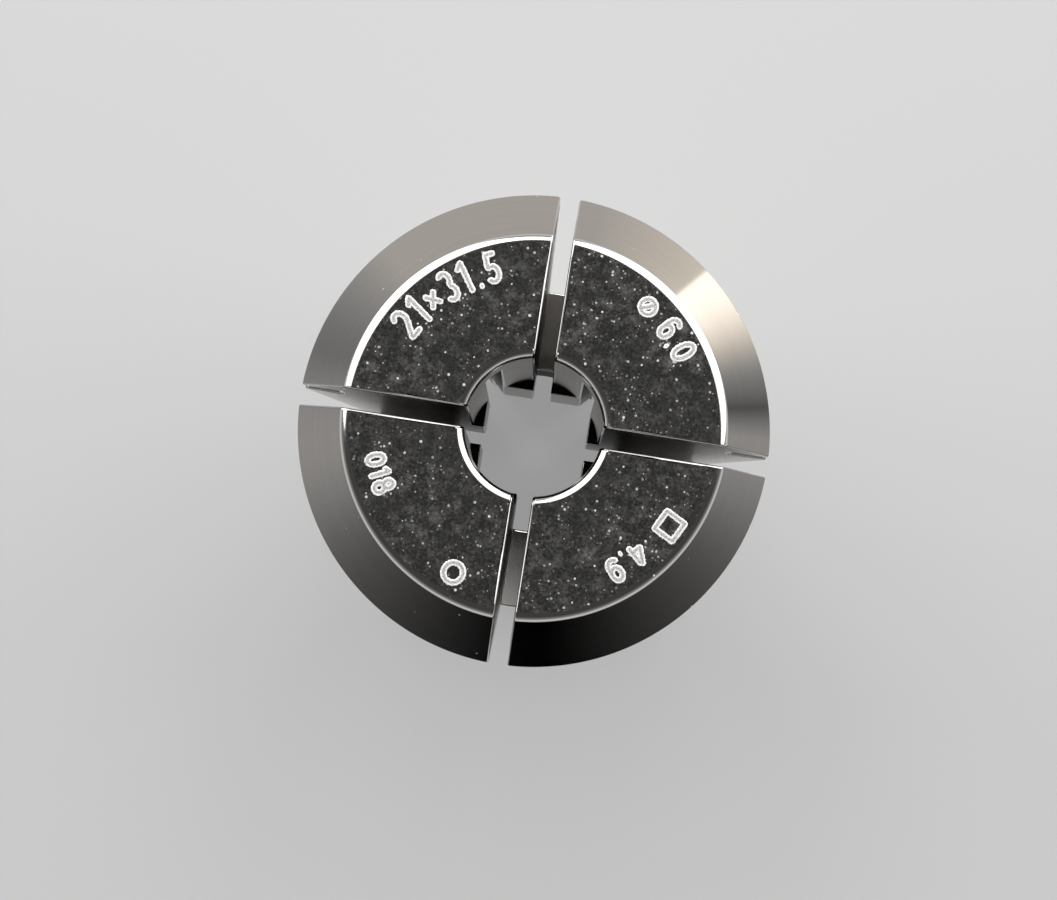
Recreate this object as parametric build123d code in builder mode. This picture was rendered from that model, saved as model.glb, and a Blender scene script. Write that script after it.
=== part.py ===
"""Tapping collet with an 8 degree seat, a bore for a round shank and an internal drive square.

One turned, ground and slit piece of spring steel. +Z is the collet's axis and points out of the
nose. The origin is the centre of the rear face, on which the collet stands. The nose slots lie in
the XZ and YZ planes, the rear slots halfway between them, and the flats of the drive square face
X and Y.
"""

from build123d import *

import os
from math import radians, sqrt, tan

# Driving dimensions, in millimetres and degrees.
collet_length = 31.5
gauge_diameter = 21.0
seat_half_angle = 8.0
nose_half_angle = 30.0
nose_length = 3.75
groove_width = 2.8
groove_depth = 1.8

bore_diameter = 6.0
bore_depth = 18.0
shank_square = 4.9
square_clearance = 0.05
relief_margin = 0.5
relief_depth = 6.0

saw_diameter = 63.0
saw_thickness = 0.85
saw_passes = 2
nose_slot_floor = 5.0
rear_slot_land = 0.4

# Edge breaks.
face_edge_radius = 0.5
mouth_width = 0.38
mouth_depth = 0.2
rim_radius = 0.1
groove_corner_radius = 0.25
seat_edge_chamfer = 0.15
rear_chamfer = 0.6
relief_chamfer = 0.25

# How far a cutting tool runs on past the metal.
overrun = 1.0


def saw_drop(radius):
    """How far the saw's rim falls away from its deepest point at a distance from the axis."""
    saw_radius = saw_diameter / 2
    return saw_radius - sqrt(saw_radius**2 - radius**2)


def saw_profile(turn, depth, exit_height):
    """Side view of one saw pass, in the plane that holds the axis and is turned by an angle.

    The rim's deepest point is at height depth on the axis. The pass leaves the collet through
    exit_height, so its floor curves away from depth towards that end.
    """
    reach = gauge_radius + overrun
    towards_exit = 1 if exit_height > depth else -1
    rim_height = depth + towards_exit * saw_drop(reach)
    with BuildSketch(Plane.XZ.rotated((0, 0, turn))) as profile:
        with BuildLine():
            ThreePointArc((-reach, rim_height), (0, depth), (reach, rim_height))
            Polyline(
                (reach, rim_height),
                (reach, exit_height),
                (-reach, exit_height),
                (-reach, rim_height),
            )
        make_face()
    return profile.sketch


# Sizes that follow from the driving dimensions.
gauge_radius = gauge_diameter / 2
groove_radius = gauge_radius - groove_depth
bore_radius = bore_diameter / 2
nose_start = collet_length - nose_length
seat_end = nose_start - groove_width
face_radius = gauge_radius - nose_length * tan(radians(nose_half_angle))
rear_radius = gauge_radius - seat_end * tan(radians(seat_half_angle))
square_start = collet_length - bore_depth
square_side = shank_square + square_clearance
relief_radius = square_side / sqrt(2) + relief_margin
rear_slot_end = nose_start - rear_slot_land + saw_drop(groove_radius)
half_pitch = 90 / saw_passes

os.makedirs("parts", exist_ok=True)

with BuildPart() as collet:
    # Outside: the seat, the extraction groove and the nose, turned in one.
    with BuildSketch(Plane.XZ):
        with BuildLine():
            Polyline(
                (0, 0),
                (rear_radius, 0),
                (gauge_radius, seat_end),
                (groove_radius, seat_end),
                (groove_radius, nose_start),
                (gauge_radius, nose_start),
                (face_radius, collet_length),
                (0, collet_length),
                close=True,
            )
        make_face()
    revolve(axis=Axis.Z)

    # Each level's smaller circle is a corner of the groove, and its larger one an outer edge.
    levels = collet.edges().filter_by(GeomType.CIRCLE).group_by(Axis.Z)
    rear_edge, seat_level, rim_level, face_edge = levels
    seat_corner, seat_edge = seat_level.sort_by(SortBy.RADIUS)
    rim_corner, rim_edge = rim_level.sort_by(SortBy.RADIUS)
    fillet([seat_corner, rim_corner], groove_corner_radius)
    fillet(face_edge, face_edge_radius)
    fillet(rim_edge, rim_radius)
    chamfer(seat_edge, seat_edge_chamfer)
    chamfer(rear_edge, rear_chamfer)

    # Inside: the shank bore from the nose, then the drive square, then its relief at the rear.
    with Locations(Plane.XY.offset(collet_length)):
        Hole(bore_radius, depth=bore_depth)
    with BuildSketch(Plane.XY.offset(relief_depth)):
        Rectangle(square_side, square_side)
    extrude(amount=square_start - relief_depth, mode=Mode.SUBTRACT)
    with BuildSketch(Plane.XY):
        Circle(relief_radius)
    extrude(amount=relief_depth, mode=Mode.SUBTRACT)

    levels = collet.edges().filter_by(GeomType.CIRCLE).group_by(Axis.Z)
    mouth_edge = levels[-1].sort_by(SortBy.RADIUS)[0]
    relief_edge = levels[0].sort_by(SortBy.RADIUS)[0]
    chamfer(mouth_edge, mouth_width, mouth_depth, reference=collet.faces().sort_by(Axis.Z)[-1])
    chamfer(relief_edge, relief_chamfer)

    # Slots: each saw pass opens two that face each other. The nose slots stop short of the rear
    # face, and the rear slots stop in the groove, short of the nose.
    for index in range(saw_passes):
        turn = 2 * index * half_pitch
        nose_pass = saw_profile(turn, nose_slot_floor, collet_length + overrun)
        rear_pass = saw_profile(turn + half_pitch, rear_slot_end, -overrun)
        extrude(nose_pass, amount=saw_thickness / 2, both=True, mode=Mode.SUBTRACT)
        extrude(rear_pass, amount=saw_thickness / 2, both=True, mode=Mode.SUBTRACT)

collet.part.label = "collet"
export_step(collet.part, "parts/collet.step")
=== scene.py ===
"""Looks of a slit tapping collet: body, size marks, finishes, floor, lamps and camera.

Lengths are in metres. The collet stands on its small end. Its axis is +Z, and its nose slots lie
along X and Y.
"""

from math import ceil, cos, degrees, hypot, pi, radians, sin, sqrt, tan

import bmesh
import bpy
from mathutils import Matrix, Vector


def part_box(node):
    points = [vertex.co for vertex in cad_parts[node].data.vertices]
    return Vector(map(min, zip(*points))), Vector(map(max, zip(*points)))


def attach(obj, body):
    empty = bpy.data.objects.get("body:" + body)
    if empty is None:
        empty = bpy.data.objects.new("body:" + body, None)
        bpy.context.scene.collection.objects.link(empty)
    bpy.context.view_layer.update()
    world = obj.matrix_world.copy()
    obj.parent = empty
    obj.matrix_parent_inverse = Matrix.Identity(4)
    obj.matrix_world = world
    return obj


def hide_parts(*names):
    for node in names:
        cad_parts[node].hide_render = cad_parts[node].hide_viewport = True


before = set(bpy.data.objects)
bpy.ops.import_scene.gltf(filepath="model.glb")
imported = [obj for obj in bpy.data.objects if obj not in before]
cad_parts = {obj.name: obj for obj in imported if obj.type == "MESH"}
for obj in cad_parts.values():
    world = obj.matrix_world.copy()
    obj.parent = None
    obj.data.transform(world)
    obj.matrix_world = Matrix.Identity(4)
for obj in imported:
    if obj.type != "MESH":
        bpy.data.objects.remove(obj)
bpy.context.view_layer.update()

MM = 0.001

# The collet's own sizes.
COLLET_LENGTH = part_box("collet")[1].z
GAUGE_RADIUS = 10.5 * MM
SEAT_ANGLE = radians(8)
NOSE_ANGLE = radians(30)
NOSE_LENGTH = 3.75 * MM
GROOVE_WIDTH = 2.8 * MM
GROOVE_DEPTH = 1.8 * MM
BORE_RADIUS = 3.0 * MM
BORE_DEPTH = 18.0 * MM
SQUARE_SIDE = 4.95 * MM
RELIEF_MARGIN = 0.5 * MM
RELIEF_DEPTH = 6.0 * MM
SAW_RADIUS = 31.5 * MM
SLOT_WIDTH = 0.85 * MM
NOSE_SLOT_FLOOR = 5.0 * MM
REAR_SLOT_LAND = 0.4 * MM
JAWS = 4

# Edge breaks, and the small rounding that grinding leaves on every turned corner.
FACE_EDGE_RADIUS = 0.5 * MM
RIM_RADIUS = 0.1 * MM
GROOVE_CORNER_RADIUS = 0.25 * MM
MOUTH_RADIUS = 0.38 * MM
SEAT_EDGE_CHAMFER = 0.15 * MM
REAR_CHAMFER = 0.6 * MM
RELIEF_CHAMFER = 0.25 * MM
TURNED_CORNER = 0.11 * MM
SLOT_EDGE_BREAK = 0.1 * MM

# The size marks stand this little above the face, so the face lies that much below the nose's end.
MARK_HEIGHT = 0.004 * MM
STROKE_WIDTH = 0.28 * MM

# Sizes that follow from the others.
FACE_HEIGHT = COLLET_LENGTH - MARK_HEIGHT
GROOVE_RADIUS = GAUGE_RADIUS - GROOVE_DEPTH
NOSE_START = COLLET_LENGTH - NOSE_LENGTH
SEAT_END = NOSE_START - GROOVE_WIDTH
FACE_RADIUS = GAUGE_RADIUS - NOSE_LENGTH * tan(NOSE_ANGLE)
REAR_RADIUS = GAUGE_RADIUS - SEAT_END * tan(SEAT_ANGLE)
SQUARE_START = COLLET_LENGTH - BORE_DEPTH
HALF_SQUARE = SQUARE_SIDE / 2
RELIEF_RADIUS = SQUARE_SIDE / sqrt(2) + RELIEF_MARGIN

# How far the nose slots are turned clockwise in the camera's view.
SLOT_TURN = radians(8.9)


def place_at(angle, distance, height=0.0):
    """A place by its direction in the camera's view, its distance from the axis and its height.

    Directions are in degrees, clockwise from the right.
    """
    turn = SLOT_TURN - radians(angle)
    return Vector((distance * cos(turn), distance * sin(turn), height))


# Short forms for nodes and objects.


def plug(tree, socket, value):
    """Gives a node's input a value, or links it to another node. None leaves it as it is."""
    if isinstance(value, bpy.types.NodeSocket):
        tree.links.new(value, socket)
    elif isinstance(value, bpy.types.Node):
        tree.links.new(value.outputs[0], socket)
    elif value is not None:
        socket.default_value = value


def add(tree, kind, *values, **settings):
    """Adds a node with its settings and the values of its inputs, in order."""
    node = tree.nodes.new(kind)
    for key, value in settings.items():
        setattr(node, key, value)
    enabled = [socket for socket in node.inputs if socket.enabled]
    for socket, value in zip(enabled, values):
        plug(tree, socket, value)
    return node


def calc(tree, operation, *values, clamp=False):
    """A number worked out from other numbers."""
    node = add(tree, "ShaderNodeMath", *values, operation=operation, use_clamp=clamp)
    return node.outputs[0]


def count(tree, operation, *values):
    """A whole number worked out from other whole numbers."""
    return add(tree, "FunctionNodeIntegerMath", *values, operation=operation).outputs[0]


def diagonal(tree, one, other):
    """The diagonal of two lengths at right angles."""
    squares = calc(tree, "MULTIPLY_ADD", one, one, calc(tree, "MULTIPLY", other, other))
    return calc(tree, "SQRT", squares)


def joined(tree, pieces):
    """The pieces of geometry as one."""
    join = add(tree, "GeometryNodeJoinGeometry")
    for piece in pieces:
        plug(tree, join.inputs[0], piece)
    return join


def add_object(name, data):
    """A new object in the scene."""
    thing = bpy.data.objects.new(name, data)
    bpy.context.scene.collection.objects.link(thing)
    return thing


def new_finish(name):
    """An empty material, its tree and the place on the piece that wears it."""
    finish = bpy.data.materials.new(name)
    finish.use_nodes = True
    tree = finish.node_tree
    tree.nodes.clear()
    return finish, tree, add(tree, "ShaderNodeTexCoord").outputs["Object"]


# The collet's section, from which the body is swept.


def saw_drop(radius):
    """How far the saw's rim falls away from its deepest point at a distance from the axis."""
    return SAW_RADIUS - sqrt(SAW_RADIUS**2 - radius**2)


def nose_slot_end(radius):
    """Height at which a nose slot ends."""
    return NOSE_SLOT_FLOOR + saw_drop(radius)


def rear_slot_end(radius):
    """Height at which a rear slot ends."""
    return NOSE_START - REAR_SLOT_LAND + saw_drop(GROOVE_RADIUS) - saw_drop(radius)


def seat_radius(height):
    """The seat's radius at a height."""
    return REAR_RADIUS + height * tan(SEAT_ANGLE)


def seat_cut_radius():
    """The radius at which a nose slot's curved end comes out through the sloping seat.

    Each height gives a better radius, and each radius a better height, so a few rounds find it.
    """
    rounds = 5
    radius = REAR_RADIUS
    for _ in range(rounds):
        radius = seat_radius(nose_slot_end(radius))
    return radius


def section_runs():
    """The section's closed outline in four runs, which meet where the slots' ends cut it.

    Each corner is a radius from the axis, a height and the corner's own rounding.
    """
    seat_cut = (seat_cut_radius(), nose_slot_end(seat_cut_radius()), 0)
    relief_cut = (RELIEF_RADIUS, nose_slot_end(RELIEF_RADIUS), 0)
    groove_cut = (GROOVE_RADIUS, rear_slot_end(GROOVE_RADIUS), 0)
    bore_cut = (BORE_RADIUS, rear_slot_end(BORE_RADIUS), 0)
    foot = [
        relief_cut,
        (RELIEF_RADIUS, RELIEF_CHAMFER, TURNED_CORNER),
        (RELIEF_RADIUS + RELIEF_CHAMFER, 0, TURNED_CORNER),
        (REAR_RADIUS - REAR_CHAMFER, 0, TURNED_CORNER),
        (seat_radius(REAR_CHAMFER), REAR_CHAMFER, TURNED_CORNER),
        seat_cut,
    ]
    seat_edge = SEAT_END - SEAT_EDGE_CHAMFER
    outside = [
        seat_cut,
        (seat_radius(seat_edge), seat_edge, TURNED_CORNER),
        (GAUGE_RADIUS - SEAT_EDGE_CHAMFER, SEAT_END, TURNED_CORNER),
        (GROOVE_RADIUS, SEAT_END, GROOVE_CORNER_RADIUS),
        groove_cut,
    ]
    head = [
        groove_cut,
        (GROOVE_RADIUS, NOSE_START, GROOVE_CORNER_RADIUS),
        (GAUGE_RADIUS, NOSE_START, RIM_RADIUS),
        (FACE_RADIUS, FACE_HEIGHT, FACE_EDGE_RADIUS),
        (BORE_RADIUS, FACE_HEIGHT, MOUTH_RADIUS),
        bore_cut,
    ]
    inside = [
        bore_cut,
        (BORE_RADIUS, SQUARE_START, 0),
        (HALF_SQUARE, SQUARE_START, 0),
        (HALF_SQUARE, RELIEF_DEPTH, 0),
        (RELIEF_RADIUS, RELIEF_DEPTH, 0),
        relief_cut,
    ]
    return foot, outside, head, inside


def rounded_corner(before, corner, after, radius):
    """Points of the arc that rounds a corner, and one more point on each straight run beside it."""
    support = 0.03 * MM
    degrees_per_step = 7.5
    back = (before - corner).normalized()
    ahead = (after - corner).normalized()
    half = back.angle(ahead) / 2
    centre = corner + (back + ahead).normalized() * radius / sin(half)
    reach = radius / tan(half)
    start = corner + back * reach - centre
    turn = start.angle_signed(corner + ahead * reach - centre)
    steps = max(2, ceil(abs(degrees(turn)) / degrees_per_step))
    bend = [centre + Matrix.Rotation(-turn * i / steps, 2) @ start for i in range(steps + 1)]
    return [bend[0] + back * support, *bend, bend[-1] + ahead * support]


def smooth_run(corners):
    """A run's points, with its corners rounded. Its two ends stay as they are."""
    points = [Vector(corners[0][:2])]
    for before, corner, after in zip(corners, corners[1:], corners[2:]):
        rounding = corner[2]
        if rounding:
            places = [Vector(place[:2]) for place in (before, corner, after)]
            points += rounded_corner(*places, rounding)
        else:
            points.append(Vector(corner[:2]))
    return points + [Vector(corners[-1][:2])]


def slot_end_run(end, inner, outer):
    """Points along a slot's curved end, from the inside of the collet to its outside."""
    steps = 16
    radii = [inner + (outer - inner) * i / steps for i in range(steps + 1)]
    return [Vector((radius, end(radius))) for radius in radii]


# The section's zones: below the nose slots' ends, between them and the rear slots' ends, and above.
FOOT, MIDDLE, HEAD = range(3)


def make_section():
    """The section as a flat mesh in the XZ plane, with one face for each zone."""
    foot, outside, head, inside = [smooth_run(run) for run in section_runs()]
    floor = slot_end_run(nose_slot_end, foot[0].x, foot[-1].x)
    roof = slot_end_run(rear_slot_end, head[-1].x, head[0].x)
    loops = {
        FOOT: foot + floor[-2:0:-1],
        MIDDLE: floor[:-1] + outside[:-1] + roof[:0:-1] + inside[:-1],
        HEAD: head[:-1] + roof[:-1],
    }
    section = bmesh.new()
    own_zone = section.faces.layers.int.new("zone")
    for zone, loop in loops.items():
        face = section.faces.new([section.verts.new((point.x, 0, point.y)) for point in loop])
        face[own_zone] = zone
    bmesh.ops.remove_doubles(section, verts=section.verts, dist=0.001 * MM)
    mesh = bpy.data.meshes.new("section")
    section.to_mesh(mesh)
    section.free()
    return mesh


# The body: the section is swept through half a jaw, and the half jaw is mirrored and repeated.


def group_tree(name, inputs):
    """A new geometry tree with one geometry output, and its inputs in order."""
    tree = bpy.data.node_groups.new(name, "GeometryNodeTree")
    for label, kind in inputs:
        tree.interface.new_socket(label, in_out="INPUT", socket_type=kind)
    tree.interface.new_socket("Geometry", in_out="OUTPUT", socket_type="NodeSocketGeometry")
    return tree, list(add(tree, "NodeGroupInput").outputs)[: len(inputs)]


def outline_sweep():
    """Tree that sweeps the outline of flat faces along Y, from one place to another."""
    inputs = [
        ("Faces", "NodeSocketGeometry"),
        ("From", "NodeSocketFloat"),
        ("To", "NodeSocketFloat"),
        ("Columns", "NodeSocketInt"),
    ]
    tree, (faces, start, end, columns) = group_tree("outline sweep", inputs)
    neighbours = add(tree, "GeometryNodeInputMeshEdgeNeighbors")
    border = add(tree, "FunctionNodeCompare", neighbours, 1, data_type="INT", operation="EQUAL")
    outline = add(tree, "GeometryNodeMeshToCurve", faces, border)
    size = add(tree, "GeometryNodeAttributeDomainSize", outline, component="CURVE")
    points = size.outputs["Point Count"]
    stations = count(tree, "ADD", columns, 1)
    grid = add(tree, "GeometryNodeMeshGrid", 1.0, 1.0, count(tree, "ADD", points, 1), stations)
    index = add(tree, "GeometryNodeInputIndex")
    point = count(tree, "MODULO", count(tree, "DIVIDE_FLOOR", index, stations), points)
    share = calc(tree, "DIVIDE", count(tree, "MODULO", index, stations), columns)
    position = add(tree, "GeometryNodeInputPosition")
    place = add(tree, "GeometryNodeSampleIndex", outline, position, point, data_type="FLOAT_VECTOR")
    along = add(tree, "ShaderNodeMapRange", share, 0.0, 1.0, start, end)
    offset = add(tree, "ShaderNodeCombineXYZ", 0.0, along, 0.0)
    moved = add(tree, "ShaderNodeVectorMath", place, offset, operation="ADD")
    swept = add(tree, "GeometryNodeSetPosition", grid.outputs["Mesh"], True, moved)
    add(tree, "NodeGroupOutput", swept)
    return tree


def split_by_zone(tree, faces, zone, operation):
    """Splits the section's faces by how their own zone compares with a zone."""
    own_zone = add(tree, "GeometryNodeInputNamedAttribute", "zone", data_type="INT")
    wanted = add(tree, "FunctionNodeCompare", own_zone, zone, data_type="INT", operation=operation)
    return add(tree, "GeometryNodeSeparateGeometry", faces, wanted, domain="FACE")


def bend_half_jaw(tree, geometry, slot_width, jaws, half_square):
    """Bends the swept section about the axis.

    Along Y, -1 to 0 is half a nose slot, 0 to 1 is half a jaw and 1 to 2 is half a rear slot. The
    slot walls stay flat, half a slot's width from the slot's middle. Points nearer to the axis than
    the bore lie on the drive square, whose flat is at right angles to the nose slot.
    """
    place = add(tree, "ShaderNodeSeparateXYZ", add(tree, "GeometryNodeInputPosition"))
    radius, along, height = place.outputs
    past_nose_slot = calc(tree, "ADD", along, 1.0, clamp=True)
    past_jaw_start = calc(tree, "ADD", along, 0.0, clamp=True)
    past_jaw_end = calc(tree, "SUBTRACT", along, 1.0, clamp=True)
    half_slot = calc(tree, "DIVIDE", slot_width, 2.0)

    wall_angle = calc(tree, "ARCSINE", calc(tree, "DIVIDE", half_slot, radius))
    both_walls = calc(tree, "MULTIPLY", wall_angle, 2.0)
    jaw_angle = calc(tree, "SUBTRACT", calc(tree, "DIVIDE", pi, jaws), both_walls)
    angle = calc(tree, "MULTIPLY", wall_angle, past_nose_slot)
    angle = calc(tree, "MULTIPLY_ADD", jaw_angle, past_jaw_start, angle)
    angle = calc(tree, "MULTIPLY_ADD", wall_angle, past_jaw_end, angle)
    round_x = calc(tree, "MULTIPLY", radius, calc(tree, "COSINE", angle))
    round_y = calc(tree, "MULTIPLY", radius, calc(tree, "SINE", angle))

    # The nose slot takes half its width off half a flat, and the rear slot, which meets the flat at
    # 45 degrees, takes sqrt(2) times that.
    sawn_off = calc(tree, "MULTIPLY", half_slot, 1 + sqrt(2))
    flat_length = calc(tree, "SUBTRACT", half_square, sawn_off)
    flat_y = calc(tree, "MULTIPLY", half_slot, past_nose_slot)
    flat_y = calc(tree, "MULTIPLY_ADD", flat_length, past_jaw_start, flat_y)

    just_over = 1.01
    on_square = calc(tree, "LESS_THAN", radius, calc(tree, "MULTIPLY", half_square, just_over))
    turned = add(tree, "ShaderNodeCombineXYZ", round_x, round_y, height)
    broached = add(tree, "ShaderNodeCombineXYZ", radius, flat_y, height)
    bent = add(tree, "GeometryNodeSwitch", on_square, turned, broached, input_type="VECTOR")
    return add(tree, "GeometryNodeSetPosition", geometry, True, bent)


def end_in_finish(tree, geometry, finish):
    """Ends a geometry tree with smooth faces that wear a finish."""
    smooth = add(tree, "GeometryNodeSetShadeSmooth", geometry, True, True, domain="FACE")
    add(tree, "NodeGroupOutput", add(tree, "GeometryNodeSetMaterial", smooth, True, finish))
    return tree


def slit_collet_tree():
    """Tree that makes the slit body from its section."""
    inputs = [
        ("Section", "NodeSocketGeometry"),
        ("Slot Width", "NodeSocketFloat"),
        ("Half Square", "NodeSocketFloat"),
        ("Jaws", "NodeSocketInt"),
        ("Jaw Columns", "NodeSocketInt"),
        ("Slot Columns", "NodeSocketInt"),
        ("Finish", "NodeSocketMaterial"),
    ]
    tree, given = group_tree("slit collet", inputs)
    section, slot_width, half_square, jaws, jaw_columns, slot_columns, finish = given
    above_foot = split_by_zone(tree, section, FOOT, "NOT_EQUAL")
    below_head = split_by_zone(tree, section, HEAD, "NOT_EQUAL")
    # What is swept, from where, to where and in how many columns.
    stretches = [
        (section, 0.0, 1.0, jaw_columns),
        (above_foot.outputs["Inverted"], -1.0, 0.0, slot_columns),
        (below_head.outputs["Inverted"], 1.0, 2.0, slot_columns),
    ]
    sweep = outline_sweep()
    pieces = [add(tree, "GeometryNodeGroup", *values, node_tree=sweep) for values in stretches]
    to_rear_slot = (0.0, 1.0, 0.0)
    rear_wall = add(tree, "GeometryNodeTransform", below_head.outputs["Selection"], to_rear_slot)
    shell = joined(tree, [*pieces, above_foot, rear_wall])
    merge_distance = 0.0002 * MM
    closed = add(tree, "GeometryNodeMergeByDistance", shell, True, merge_distance)
    half_jaw = bend_half_jaw(tree, closed, slot_width, jaws, half_square)

    mirrored = add(tree, "GeometryNodeTransform", half_jaw, None, None, (1.0, -1.0, 1.0))
    jaw = joined(tree, [half_jaw, add(tree, "GeometryNodeFlipFaces", mirrored)])
    spots = add(tree, "GeometryNodePoints", jaws)
    share = calc(tree, "DIVIDE", add(tree, "GeometryNodeInputIndex"), jaws)
    turn = add(tree, "ShaderNodeCombineXYZ", 0.0, 0.0, calc(tree, "MULTIPLY", share, 2 * pi))
    ring = add(tree, "GeometryNodeInstanceOnPoints", spots, True, jaw, False, 0, turn)
    whole = add(tree, "GeometryNodeRealizeInstances", ring)
    body = add(tree, "GeometryNodeMergeByDistance", whole, True, merge_distance)
    return end_in_finish(tree, body, finish)


def grown(name, base, tree, values):
    """A plain mesh object that a geometry tree makes from a base mesh.

    values are the tree's other inputs, by name.
    """
    seed = add_object(name + "_seed", base)
    modifier = seed.modifiers.new("shape", "NODES")
    modifier.node_group = tree
    for item in tree.interface.items_tree:
        if item.in_out == "INPUT" and item.name in values:
            modifier[item.identifier] = values[item.name]
    evaluated = seed.evaluated_get(bpy.context.evaluated_depsgraph_get())
    mesh = bpy.data.meshes.new_from_object(evaluated)
    mesh.name = name
    bpy.data.objects.remove(seed)
    return add_object(name, mesh)


# The body's finishes, in the order of its materials.
CONES, FACE, TURNED, SAWN, HONED, SCALED = range(6)


def surface_of(face):
    """Which finish a face of the body has, by where it lies and which way it points."""
    centre = face.calc_center_median()
    radius = hypot(centre.x, centre.y)
    level = abs(face.normal.z) > 0.9
    slack = 0.02 * MM
    # Only the slot walls have more than four corners.
    if len(face.verts) > 4:
        return SAWN
    if face.normal.z > 0.999 and centre.z > FACE_HEIGHT - slack:
        return FACE
    if radius < RELIEF_RADIUS + slack and centre.z < SQUARE_START + slack:
        return SCALED if level or centre.z < RELIEF_DEPTH else HONED
    if radius < BORE_RADIUS:
        return HONED
    if radius > GROOVE_RADIUS - slack and SEAT_END - slack < centre.z < NOSE_START + slack:
        return TURNED
    slot_end = level and slack < centre.z < NOSE_START
    return SAWN if slot_end else CONES


def mark_edges(shape):
    """Says how far each sharp outward edge is broken, and keeps the inward ones crisp.

    The edges of the drive square and its relief are broken less than those of the slots.
    """
    sharp_angle = radians(20)
    slot_share, square_share = 1.0, 0.3
    broken = shape.edges.layers.float.new("bevel_weight_edge")
    for edge in shape.edges:
        angle = edge.calc_face_angle_signed()
        middle = (edge.verts[0].co + edge.verts[1].co) / 2
        near_axis = middle.xy.length < RELIEF_RADIUS - SLOT_EDGE_BREAK
        in_square = near_axis and middle.z < SQUARE_START + SLOT_EDGE_BREAK
        if angle > sharp_angle:
            edge[broken] = square_share if in_square else slot_share
        edge.smooth = angle > -sharp_angle


def make_body(finishes):
    """The collet's body, with its slot edges lightly broken and a finish on each surface."""
    sizes = {
        "Slot Width": SLOT_WIDTH,
        "Half Square": HALF_SQUARE,
        "Jaws": JAWS,
        "Jaw Columns": 24,
        "Slot Columns": 3,
        "Finish": finishes[CONES],
    }
    body = grown("collet_body", make_section(), slit_collet_tree(), sizes)
    body.data.materials.clear()
    for finish in finishes:
        body.data.materials.append(finish)
    shape = bmesh.new()
    shape.from_mesh(body.data)
    bmesh.ops.recalc_face_normals(shape, faces=shape.faces)
    mark_edges(shape)
    for face in shape.faces:
        face.material_index = surface_of(face)
    shape.to_mesh(body.data)
    shape.free()
    bevel = body.modifiers.new("slot edge break", "BEVEL")
    bevel.limit_method = "WEIGHT"
    bevel.width = SLOT_EDGE_BREAK
    bevel.segments = 3
    bevel.material = CONES
    bevel.use_clamp_overlap = False
    bevel.harden_normals = True
    return body


# The size marks: single strokes of a marking laser, laid round the face.


def arc(u, v, width, height, start, end):
    """Points of an arc about a place, from one angle to another in degrees."""
    steps = 16
    angles = [radians(start + (end - start) * i / steps) for i in range(steps + 1)]
    return [(u + width * cos(angle), v + height * sin(angle)) for angle in angles]


def oval(u, v, width, height):
    """Points of a closed oval stroke about a place."""
    return arc(u, v, width, height, 0, 360)


# Each sign's width and its strokes, in a cell one unit high.
SIGNS = {
    "0": (0.60, [oval(0.30, 0.50, 0.25, 0.37)]),
    "1": (0.42, [[(0.0, 0.72), (0.27, 0.94), (0.27, 0.0)]]),
    "2": (0.60, [[*arc(0.30, 0.68, 0.21, 0.22, 172, -38), (0.08, 0.10), (0.60, 0.10)]]),
    "3": (0.58, [arc(0.27, 0.71, 0.19, 0.19, 160, -90), arc(0.27, 0.31, 0.21, 0.21, 90, -160)]),
    "4": (0.62, [[(0.44, 0.92), (0.03, 0.33), (0.62, 0.33)], [(0.44, 0.86), (0.44, 0.05)]]),
    "5": (
        0.58,
        [[(0.54, 0.90), (0.16, 0.90), (0.13, 0.54), *arc(0.28, 0.33, 0.21, 0.22, 120, -160)]],
    ),
    "6": (
        0.60,
        [oval(0.30, 0.36, 0.22, 0.23), [(0.08, 0.36), *arc(0.33, 0.63, 0.25, 0.24, 180, 20)]],
    ),
    "8": (0.60, [oval(0.30, 0.73, 0.20, 0.20), oval(0.30, 0.30, 0.25, 0.23)]),
    "9": (
        0.60,
        [oval(0.30, 0.64, 0.22, 0.23), [(0.52, 0.64), *arc(0.27, 0.37, 0.25, 0.24, 0, -160)]],
    ),
    ".": (0.18, [[(-0.01, 0.10), (0.19, 0.10)]]),
    "x": (0.54, [[(0.02, 0.20), (0.52, 0.68)], [(0.52, 0.20), (0.02, 0.68)]]),
    "diameter": (0.84, [oval(0.42, 0.50, 0.28, 0.34), [(0.20, 0.10), (0.64, 0.90)]]),
    "square": (0.94, [[(0.12, 0.11), (0.82, 0.11), (0.82, 0.89), (0.12, 0.89), (0.12, 0.11)]]),
    "ring": (0.90, [oval(0.45, 0.50, 0.34, 0.39)]),
}

# Rows of signs: the directions between which each row lies, and the distances of the signs' feet
# and tops from the axis.
MARKS = [
    (["2", "1", "x", "3", "1", ".", "5"], 216.0, 258.0, 6.37 * MM, 7.90 * MM),
    (["diameter"], 309.5, 317.5, 6.70 * MM, 7.68 * MM),
    (["6", ".", "0"], 321.5, 335.5, 6.60 * MM, 7.92 * MM),
    (["square"], 31.2, 41.1, 6.66 * MM, 7.88 * MM),
    (["4", ".", "9"], 48.4, 62.8, 6.50 * MM, 7.76 * MM),
    (["ring"], 123.5, 114.5, 7.76 * MM, 6.62 * MM),
    (["0", "1", "8"], 170.5, 156.5, 7.48 * MM, 6.48 * MM),
]


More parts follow.
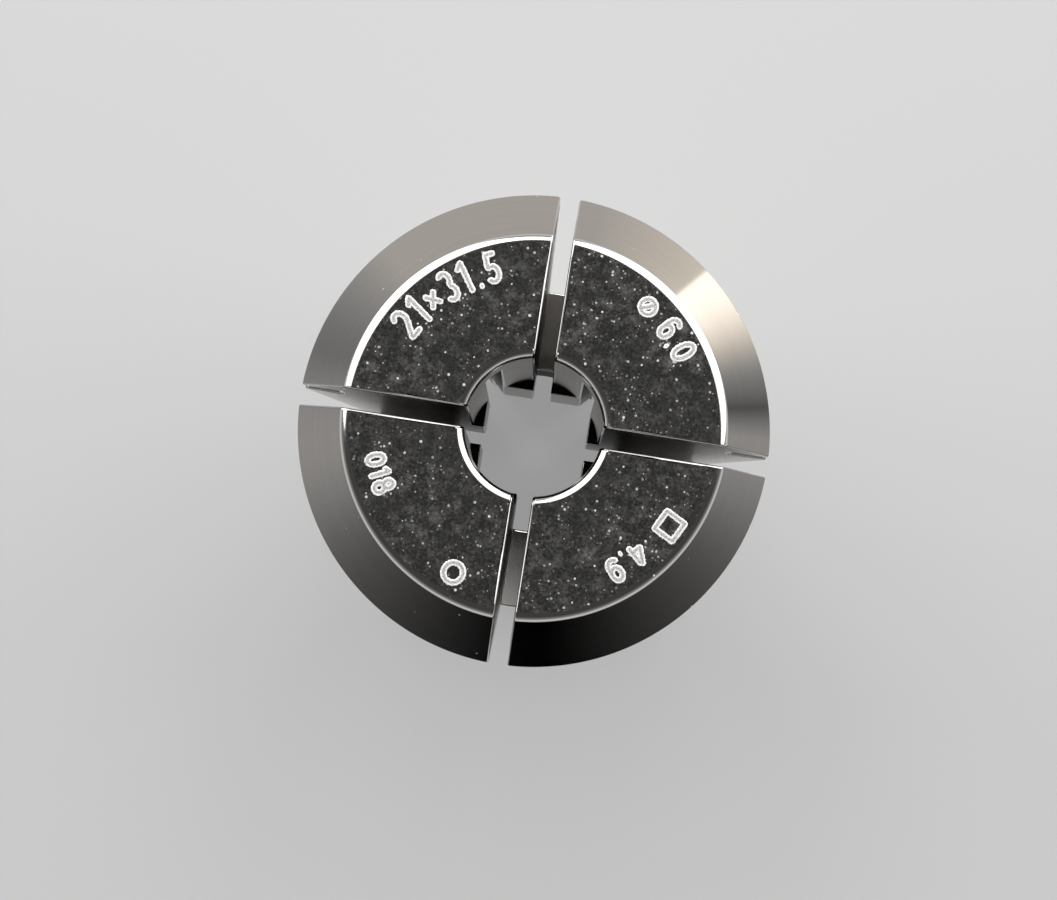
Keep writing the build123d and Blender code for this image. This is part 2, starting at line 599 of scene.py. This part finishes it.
def mark_strokes(signs, first, last, foot, top):
    """Strokes of a row of signs, laid round the axis. Each is a list of places."""
    gap = 0.2
    total = sum(SIGNS[sign][0] for sign in signs) + gap * (len(signs) - 1)
    degrees_per_unit = (last - first) / total
    unit = radians(degrees_per_unit) * (foot + top) / 2
    strokes = []
    start = 0
    for sign in signs:
        width, lines = SIGNS[sign]
        middle = first + (start + width / 2) * degrees_per_unit
        outward, onward = place_at(middle, 1), place_at(middle + 90, 1)
        for line in lines:
            stroke = []
            for u, v in line:
                distance = foot + (top - foot) * v
                stroke.append(outward * distance + onward * unit * (u - width / 2))
            strokes.append(stroke)
        start += width + gap
    return strokes


def make_stroke_lines():
    """The marks' centre lines as a mesh of edges in the plane z = 0."""
    points, edges = [], []
    for mark in MARKS:
        for stroke in mark_strokes(*mark):
            closed = (stroke[0] - stroke[-1]).length < 0.001 * MM
            places = stroke[:-1] if closed else stroke
            first = len(points)
            edges += [(first + i, first + i + 1) for i in range(len(places) - 1)]
            if closed:
                edges.append((first + len(places) - 1, first))
            points += [(place.x, place.y, 0) for place in places]
    mesh = bpy.data.meshes.new("stroke lines")
    mesh.from_pydata(points, edges, [])
    return mesh


def round_ends(tree, half_width):
    """A stroke's width as a share of the full width: 1 along it, and rounded off at open ends."""
    along = add(tree, "GeometryNodeSplineParameter").outputs["Length"]
    left = calc(tree, "SUBTRACT", add(tree, "GeometryNodeSplineLength").outputs["Length"], along)
    from_end = calc(tree, "DIVIDE", calc(tree, "MINIMUM", along, left), half_width)
    short = calc(tree, "SUBTRACT", 1.0, from_end, clamp=True)
    share = calc(tree, "SQRT", calc(tree, "SUBTRACT", 1.0, calc(tree, "MULTIPLY", short, short)))
    return calc(tree, "MAXIMUM", share, add(tree, "GeometryNodeInputSplineCyclic"))


def laser_stroke_tree():
    """Tree that makes a low rounded stroke along each line, with round ends and ragged edges."""
    inputs = [
        ("Lines", "NodeSocketGeometry"),
        ("Stroke Width", "NodeSocketFloat"),
        ("Height", "NodeSocketFloat"),
        ("Sink", "NodeSocketFloat"),
        ("Foot", "NodeSocketFloat"),
        ("Wander", "NodeSocketFloat"),
        ("Finish", "NodeSocketMaterial"),
    ]
    tree, given = group_tree("laser strokes", inputs)
    lines, width, height, sink, foot, wander, finish = given
    step, sides, merge_distance = 0.025 * MM, 12, 0.0005 * MM
    raggedness = 0.09 * MM
    half_width = calc(tree, "DIVIDE", width, 2.0)
    curves = add(tree, "GeometryNodeMeshToCurve", lines)
    fine = add(tree, "GeometryNodeResampleCurve", curves, True, step, mode="LENGTH")
    profile = add(tree, "GeometryNodeCurvePrimitiveCircle", sides, half_width)
    tube = add(tree, "GeometryNodeCurveToMesh", fine, profile, round_ends(tree, half_width))

    x, y, z = add(tree, "ShaderNodeSeparateXYZ", add(tree, "GeometryNodeInputPosition")).outputs
    level = calc(tree, "DIVIDE", z, half_width)
    above = calc(tree, "MULTIPLY_ADD", calc(tree, "MAXIMUM", level, 0.0), height, foot)
    flat = calc(tree, "MULTIPLY_ADD", calc(tree, "MINIMUM", level, 0.0), sink, above)
    uneven = add(tree, "ShaderNodeTexNoise", None, 1 / raggedness, 2.0).outputs["Color"]
    shift = add(tree, "ShaderNodeVectorMath", uneven, (0.5, 0.5, 0.5), operation="SUBTRACT")
    shift_x, shift_y, _ = add(tree, "ShaderNodeSeparateXYZ", shift).outputs
    ragged_x = calc(tree, "MULTIPLY_ADD", shift_x, wander, x)
    ragged_y = calc(tree, "MULTIPLY_ADD", shift_y, wander, y)
    place = add(tree, "ShaderNodeCombineXYZ", ragged_x, ragged_y, flat)
    strokes = add(tree, "GeometryNodeSetPosition", tube, True, place)
    merged = add(tree, "GeometryNodeMergeByDistance", strokes, True, merge_distance)
    return end_in_finish(tree, add(tree, "GeometryNodeRealizeInstances", merged), finish)


def make_marks(finish):
    """The size marks on the face."""
    sizes = {
        "Stroke Width": STROKE_WIDTH,
        "Height": MARK_HEIGHT,
        "Sink": 0.01 * MM,
        "Foot": FACE_HEIGHT,
        "Wander": 0.11 * MM,
        "Finish": finish,
    }
    return grown("size_marks", make_stroke_lines(), laser_stroke_tree(), sizes)


# Finishes. Each reads the place on the collet, so its marks run the way the tool went.

STEEL = (0.56, 0.55, 0.53, 1)
WORN_STEEL = (0.66, 0.65, 0.63, 1)
DUST = (0.80, 0.78, 0.74, 1)


def about_axis(tree, place):
    """A place's distance from the axis, its height and its angle."""
    x, y, height = add(tree, "ShaderNodeSeparateXYZ", place).outputs
    return diagonal(tree, x, y), height, calc(tree, "ARCTAN2", y, x)


def noise(tree, place, grain, detail, roughness):
    """Noise from 0 to 1 with a grain of that size, and how much finer detail lies on the grain."""
    return add(tree, "ShaderNodeTexNoise", place, 1 / grain, detail, roughness).outputs[0]


def tool_lines(tree, place, pitch, length):
    """Lines that a tool leaves round the axis, at a pitch and with a rough length in radians."""
    radius, height, angle = about_axis(tree, place)
    crosswise = [calc(tree, "DIVIDE", radius, pitch), calc(tree, "DIVIDE", height, pitch)]
    drawn_out = add(tree, "ShaderNodeCombineXYZ", *crosswise, calc(tree, "DIVIDE", angle, length))
    return noise(tree, drawn_out, 1.0, 3.0, 0.6)


def between(tree, share, low, high):
    """A share from 0 to 1 as a value from low to high."""
    return add(tree, "ShaderNodeMapRange", share, 0.0, 1.0, low, high)


def stretch(tree, value, low, high):
    """How far a value is on the way from low to high, from 0 to 1."""
    return add(tree, "ShaderNodeMapRange", value, low, high, 0.0, 1.0)


def uneven_roughness(tree, pattern, smoothest, roughest):
    """Roughness that follows the middle range of a noise pattern."""
    return between(tree, stretch(tree, pattern, 0.3, 0.7), smoothest, roughest)


def mix_colour(tree, share, low, high):
    """A colour between two others."""
    node = add(tree, "ShaderNodeMix", share, low, high, data_type="RGBA")
    return next(socket for socket in node.outputs if socket.enabled)


def specks(tree, place, spacing, largest, kept):
    """Small round specks of different sizes, some pale and some faint, up to 1 on a speck.

    kept is the share of cells that hold one.
    """
    faintest, edge_sharpness = 0.12, 12.0
    cells = add(tree, "ShaderNodeTexVoronoi", place, 1 / spacing)
    # Each cell draws whether it holds a speck, how large that is and how pale.
    lot, bulk, tint = add(tree, "ShaderNodeSeparateColor", cells.outputs["Color"]).outputs
    size = calc(tree, "MULTIPLY", bulk, largest / spacing)
    size = calc(tree, "MULTIPLY", size, calc(tree, "LESS_THAN", lot, kept))
    inside = calc(tree, "SUBTRACT", size, cells.outputs["Distance"])
    shape = calc(tree, "MULTIPLY", inside, edge_sharpness, clamp=True)
    paleness = calc(tree, "MULTIPLY_ADD", tint, tint, faintest, clamp=True)
    return calc(tree, "MULTIPLY", shape, paleness)


def edge_wear(tree, place, width):
    """1 where an edge is worn, 0 elsewhere, uneven along the edge."""
    rounded = add(tree, "ShaderNodeBevel", width)
    plain = add(tree, "ShaderNodeNewGeometry").outputs["Normal"]
    alike = add(tree, "ShaderNodeVectorMath", rounded, plain, operation="DOT_PRODUCT")
    apart = calc(tree, "SUBTRACT", 1.0, alike.outputs["Value"])
    patches = stretch(tree, noise(tree, place, 0.25 * MM, 4.0, 0.7), 0.35, 0.6)
    return calc(tree, "MULTIPLY", stretch(tree, apart, 0.01, 0.12), patches)


def shade(tree, colour, metal, roughness, relief, depth):
    """Ends a finish: its colour, how metallic and how rough it is, and a relief of a depth."""
    bump = add(tree, "ShaderNodeBump", 1.0, depth)
    plug(tree, bump.inputs["Height"], relief)
    shader = add(tree, "ShaderNodeBsdfPrincipled")
    plug(tree, shader.inputs["Base Color"], colour)
    plug(tree, shader.inputs["Metallic"], metal)
    plug(tree, shader.inputs["Roughness"], roughness)
    plug(tree, shader.inputs["Normal"], bump)
    add(tree, "ShaderNodeOutputMaterial", shader)


def steel(tree, colour, roughness, relief, depth, wear, dust=None, metal=1.0):
    """Ends a steel finish. Worn edges are bright, and dust lies pale and dull on the steel.

    metal is how metallic the steel is where no dust lies.
    """
    colour = mix_colour(tree, wear, colour, WORN_STEEL)
    roughness = calc(tree, "MULTIPLY_ADD", wear, 0.08, roughness)
    if dust:
        colour = mix_colour(tree, dust, colour, DUST)
        metal = calc(tree, "SUBTRACT", metal, dust, clamp=True)
        roughness = calc(tree, "MAXIMUM", roughness, dust)
    shade(tree, colour, metal, roughness, relief, depth)


def lapped_face():
    """The face: lapped to a mirror, with fine dull grain, dust, and haze in places."""
    finish, tree, place = new_finish("lapped face")
    patches = noise(tree, place, 0.7 * MM, 3.0, 0.6)
    grain = noise(tree, place, 0.13 * MM, 3.0, 0.7)
    coarse_dust = specks(tree, place, 0.34 * MM, 0.08 * MM, 0.42)
    fine_dust = specks(tree, place, 0.15 * MM, 0.07 * MM, 0.7)
    fine_dust = calc(tree, "MULTIPLY", fine_dust, stretch(tree, patches, 0.35, 0.6))
    dust = calc(tree, "MULTIPLY_ADD", fine_dust, 0.42, coarse_dust, clamp=True)
    bloom = stretch(tree, calc(tree, "MULTIPLY_ADD", grain, 0.3, patches), 0.6, 0.95)
    haze = stretch(tree, noise(tree, place, 3.2 * MM, 2.0, 0.5), 0.4, 0.65)
    dust = calc(tree, "MULTIPLY_ADD", bloom, between(tree, haze, 0.04, 0.17), dust, clamp=True)
    colour = mix_colour(tree, stretch(tree, grain, 0.36, 0.64), (0.25, 0.245, 0.24, 1), STEEL)
    roughness = uneven_roughness(tree, patches, 0.09, 0.16)
    wear = edge_wear(tree, place, 0.08 * MM)
    steel(tree, colour, roughness, grain, 0.0005 * MM, wear, dust)
    return finish


def ground_cones():
    """The nose cone, seat, rear end and broken edges: ground round the axis."""
    finish, tree, place = new_finish("ground cones")
    lines = tool_lines(tree, place, 0.03 * MM, 0.25)
    broad = tool_lines(tree, place, 0.4 * MM, 1.4)
    dust = specks(tree, place, 0.5 * MM, 0.07 * MM, 0.4)
    colour = mix_colour(tree, broad, (0.54, 0.52, 0.50, 1), (0.60, 0.585, 0.565, 1))
    roughness = uneven_roughness(tree, lines, 0.06, 0.12)
    wear = edge_wear(tree, place, 0.08 * MM)
    steel(tree, colour, roughness, lines, 0.0002 * MM, wear, dust)
    return finish


def turned_groove():
    """The extraction groove: turned, and left duller than the ground cones."""
    finish, tree, place = new_finish("turned groove")
    lines = tool_lines(tree, place, 0.07 * MM, 1.0)
    stain = noise(tree, place, 1.6 * MM, 4.0, 0.6)
    colour = mix_colour(tree, stain, (0.30, 0.285, 0.27, 1), (0.46, 0.45, 0.43, 1))
    roughness = uneven_roughness(tree, lines, 0.26, 0.42)
    steel(tree, colour, roughness, lines, 0.002 * MM, edge_wear(tree, place, 0.1 * MM))
    return finish


def sawn_slot():
    """The slots: fine arcs left by the slitting disc, and painted shade with a brown oxide tint,
    darker towards the axis and the rear.
    """
    finish, tree, place = new_finish("sawn slot")
    radius, height, _ = about_axis(tree, place)
    below_centre = calc(tree, "SUBTRACT", height, NOSE_SLOT_FLOOR + SAW_RADIUS)
    from_centre = calc(tree, "DIVIDE", diagonal(tree, below_centre, radius), 0.06 * MM)
    lines = noise(tree, add(tree, "ShaderNodeCombineXYZ", from_centre), 1.0, 3.0, 0.6)
    stain = noise(tree, place, 0.8 * MM, 4.0, 0.6)
    oxide_brown_and_painted_shade = mix_colour(tree, stain, (0.04, 0.032, 0.026, 1), (0.12, 0.097, 0.075, 1))
    unshaded_steel = mix_colour(tree, stain, (0.58, 0.56, 0.54, 1), (0.72, 0.71, 0.69, 1))
    # Painted shade, with a brown oxide tint: the colour darkens to near black towards the axis and
    # towards the rear, deep in the slot.
    outer = stretch(tree, calc(tree, "MULTIPLY_ADD", stain, 1.2 * MM, radius), 4.1 * MM, 5.6 * MM)
    upper = stretch(tree, height, 1.0 * MM, 8.0 * MM)
    colour = mix_colour(tree, calc(tree, "MULTIPLY", outer, upper), oxide_brown_and_painted_shade, unshaded_steel)
    roughness = uneven_roughness(tree, lines, 0.20, 0.34)
    steel(tree, colour, roughness, lines, 0.001 * MM, edge_wear(tree, place, 0.1 * MM))
    return finish


def honed_bore():
    """The shank bore and the flats of the drive square: honed, with faint lines round the axis."""
    finish, tree, place = new_finish("honed bore")
    lines = tool_lines(tree, place, 0.04 * MM, 0.6)
    colour = mix_colour(tree, lines, (0.28, 0.262, 0.245, 1), (0.38, 0.36, 0.335, 1))
    roughness = uneven_roughness(tree, lines, 0.22, 0.34)
    steel(tree, colour, roughness, lines, 0.0015 * MM, edge_wear(tree, place, 0.1 * MM))
    return finish


def scaled_end():
    """The shoulder at the bore's end and the relief: not ground, and dark with hardening scale."""
    finish, tree, place = new_finish("scaled steel")
    grain = noise(tree, place, 0.12 * MM, 4.0, 0.6)
    colour = mix_colour(tree, grain, (0.006, 0.005, 0.005, 1), (0.02, 0.018, 0.016, 1))
    roughness = between(tree, grain, 0.55, 0.75)
    wear = calc(tree, "MULTIPLY", edge_wear(tree, place, 0.06 * MM), 0.25)
    steel(tree, colour, roughness, grain, 0.004 * MM, wear, metal=0.15)
    return finish


def laser_mark():
    """The marks: etched dull, greyer and gritty between each stroke's two rims, and palest along
    the rims, where a highlight is painted on the mark's own pale tone.
    """
    finish, tree, place = new_finish("laser mark")
    height = about_axis(tree, place)[1]
    above_face = calc(tree, "SUBTRACT", height, FACE_HEIGHT)
    level = calc(tree, "DIVIDE", above_face, MARK_HEIGHT, clamp=True)
    middle = stretch(tree, level, 0.78, 0.95)
    grit = noise(tree, place, 0.06 * MM, 3.0, 0.7)
    rough_grit = stretch(tree, grit, 0.35, 0.65)
    grey = mix_colour(tree, rough_grit, (0.13, 0.125, 0.12, 1), (0.64, 0.62, 0.60, 1))
    # Painted highlight: the rims are painted near white on top of the mark's own pale grey.
    rim_with_painted_highlight = mix_colour(tree, rough_grit, (0.70, 0.69, 0.68, 1), (0.97, 0.96, 0.94, 1))
    colour = mix_colour(tree, middle, rim_with_painted_highlight, grey)
    shade(tree, colour, 0.1, between(tree, grit, 0.5, 0.8), grit, 0.01 * MM)
    return finish


# Stage: a pale floor, a studio, soft lamps and the glowing card that paints a reflection into the
# polished steel.


def make_floor():
    """A wide pale floor. Part of its tone is its own, so that it shows through the bore as well.

    That part grows with the distance from the collet, until the floor runs into the studio.
    """
    size = 2.0
    near, far, near_tone, far_tone = 0.08, 0.7, 0.3, 0.77
    mesh = bpy.data.meshes.new("floor")
    corners = [(-size, -size, 0), (size, -size, 0), (size, size, 0), (-size, size, 0)]
    mesh.from_pydata(corners, [], [(0, 1, 2, 3)])
    paper, tree, place = new_finish("pale paper")
    away = add(tree, "ShaderNodeVectorMath", place, operation="LENGTH").outputs["Value"]
    own_tone = add(tree, "ShaderNodeMapRange", away, near, far, near_tone, far_tone)
    path = add(tree, "ShaderNodeLightPath")
    seen = calc(tree, "MAXIMUM", path.outputs["Is Camera Ray"], path.outputs["Is Glossy Ray"])
    seen = calc(tree, "MAXIMUM", seen, path.outputs["Is Transmission Ray"])
    glow = add(tree, "ShaderNodeEmission", (1, 1, 1, 1), calc(tree, "MULTIPLY", seen, own_tone))
    matt = add(tree, "ShaderNodeBsdfDiffuse", (0.3, 0.3, 0.3, 1))
    add(tree, "ShaderNodeOutputMaterial", add(tree, "ShaderNodeAddShader", glow, matt))
    mesh.materials.append(paper)
    add_object("floor", mesh)


def make_world():
    """A studio that is pale round the horizon, grey above it and dark overhead."""
    world = bpy.data.worlds.new("studio")
    world.use_nodes = True
    bpy.context.scene.world = world
    tree = world.node_tree
    tree.nodes.clear()
    direction = add(tree, "ShaderNodeTexCoord").outputs["Generated"]
    rise = add(tree, "ShaderNodeSeparateXYZ", direction).outputs["Z"]
    grey_to_dark = add(tree, "ShaderNodeMapRange", rise, 0.4, 0.75, 0.34, 0.078)
    pale_band = add(tree, "ShaderNodeMapRange", rise, 0.22, 0.4, 0.5, 0.0)
    tone = calc(tree, "ADD", grey_to_dark, pale_band)
    add(tree, "ShaderNodeOutputWorld", add(tree, "ShaderNodeBackground", tone, 1.0))


# Directions on the painted-reflection card: its bright strip of painted highlight at the right, the
# middle of the dark gap beside the strip with half the gap's width, and where the near side of
# painted shade runs out at the left.
STRIP_START, STRIP_END = 316, 345
DARK_GAP, HALF_GAP = 352, 8
DARK_END_START, DARK_END = 562, 592


def painted_reflection_tone(angle):
    """The card's glow by direction, a painted reflection: a grey far side, a bright strip of
    painted highlight and a dark near side of painted shade.

    The far side is brighter just before the strip, the strip fades towards the near side, and the
    near side is paler towards its ends.
    """
    grey, before_strip, before_spread = 0.57, 0.36, 30
    strip_tone, strip_fade = 2.0, 1.6
    side_tone, end_tone, gap_depth = 0.16, 0.26, 0.7
    if angle < STRIP_START:
        return grey + before_strip * max(0.0, 1 - (STRIP_START - angle) / before_spread)
    aside = abs(cos(radians(angle)))
    near_side = side_tone * aside**2 + end_tone * aside**12
    near_side *= 1 - gap_depth * max(0.0, 1 - abs(angle - DARK_GAP) / HALF_GAP)
    if angle < STRIP_END:
        share = (STRIP_END - angle) / (STRIP_END - STRIP_START)
        return near_side + strip_tone * sin(share * pi / 2) ** strip_fade
    share = min(1.0, max(0.0, (angle - DARK_END_START) / (DARK_END - DARK_END_START)))
    return near_side + (grey - near_side) * share


def make_painted_reflection_card():
    """A low glowing card round the collet, which paints a reflection into the polished steel: a
    bright strip of painted highlight and a near side of painted shade. Only the polished steel
    mirrors it.
    """
    distance, bottom, top = 45 * MM, 0.5 * MM, 24 * MM
    angles = range(DARK_END - 360, DARK_END + 1)
    places = [place_at(angle, distance) for angle in angles]
    points = [(place.x, place.y, height) for place in places for height in (bottom, top)]
    faces = [(2 * i, 2 * i + 1, 2 * i + 3, 2 * i + 2) for i in range(len(angles) - 1)]
    mesh = bpy.data.meshes.new("painted reflection card")
    mesh.from_pydata(points, [], faces)
    tones = mesh.attributes.new("tone", "FLOAT", "POINT")
    for i, angle in enumerate(angles):
        for corner in (2 * i, 2 * i + 1):
            tones.data[corner].value = painted_reflection_tone(angle)
    finish, tree, _ = new_finish("painted reflection card")
    # Painted reflection: the card glows with this tone, warmer where it is bright, and only glossy
    # rays see it.
    tone = add(tree, "ShaderNodeAttribute", attribute_name="tone").outputs["Fac"]
    warmth = stretch(tree, tone, 0.3, 0.8)
    colour = mix_colour(tree, warmth, (1, 1, 1, 1), (1, 0.92, 0.82, 1))
    add(tree, "ShaderNodeOutputMaterial", add(tree, "ShaderNodeEmission", colour, tone))
    mesh.materials.append(finish)
    card = add_object("painted_reflection_card", mesh)
    for ray in ("camera", "diffuse", "transmission", "shadow", "volume_scatter"):
        setattr(card, "visible_" + ray, False)


def make_window(name, place, width, length, power):
    """A soft oval lamp that shines on the collet and isn't itself seen."""
    data = bpy.data.lights.new(name, "AREA")
    data.shape = "ELLIPSE"
    data.size = width
    data.size_y = length
    data.energy = power
    lamp = add_object(name, data)
    lamp.location = place
    target = Vector((0, 0, 0.8 * COLLET_LENGTH))
    lamp.rotation_euler = (target - lamp.location).to_track_quat("-Z", "Y").to_euler()
    lamp.visible_camera = False


# The camera stands this far above the face and this far below the axis in its own view, and looks
# at this place on the face. Its focal length is in pixels of its frame.
FACE_DISTANCE = 180 * MM
EYE_BELOW_AXIS = 7.9 * MM
AIM = Vector((-0.23, -0.99)) * MM
FRAME_WIDTH = 1057
FOCAL_LENGTH = 4164


def make_camera():
    """The camera: almost straight above the face, and turned so that the slots stand askew."""
    data = bpy.data.cameras.new("camera")
    data.sensor_width = 36
    data.lens = data.sensor_width * FOCAL_LENGTH / FRAME_WIDTH
    data.clip_start = 10 * MM
    camera = add_object("camera", data)
    bpy.context.scene.camera = camera
    view = Matrix.Rotation(SLOT_TURN, 3, "Z")
    eye = view @ Vector((0, -EYE_BELOW_AXIS, COLLET_LENGTH + FACE_DISTANCE))
    aim = view @ Vector((AIM.x, AIM.y, COLLET_LENGTH))
    forward = (aim - eye).normalized()
    up = (view @ Vector((1, 0, 0))).cross(forward).normalized()
    turned = Matrix((forward.cross(up), up, -forward)).transposed()
    camera.matrix_world = Matrix.Translation(eye) @ turned.to_4x4()


def make_stage():
    """Floor, studio, painted-reflection card, windows and camera."""
    make_floor()
    make_world()
    make_painted_reflection_card()
    make_window("left window", place_at(225, 0.143, 0.123), width=0.21, length=0.28, power=0.33)
    make_window("right window", place_at(321, 0.143, 0.123), width=0.23, length=0.30, power=0.38)
    make_window("top window", place_at(270, 0.13, 0.17), width=0.12, length=0.12, power=0.08)
    bpy.context.scene.view_settings.view_transform = "Standard"
    make_camera()


body_finishes = [
    ground_cones(),
    lapped_face(),
    turned_groove(),
    sawn_slot(),
    honed_bore(),
    scaled_end(),
]
body = make_body(body_finishes)
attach(body, "root")
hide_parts("collet")
marks = make_marks(laser_mark())
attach(marks, "root")
make_stage()
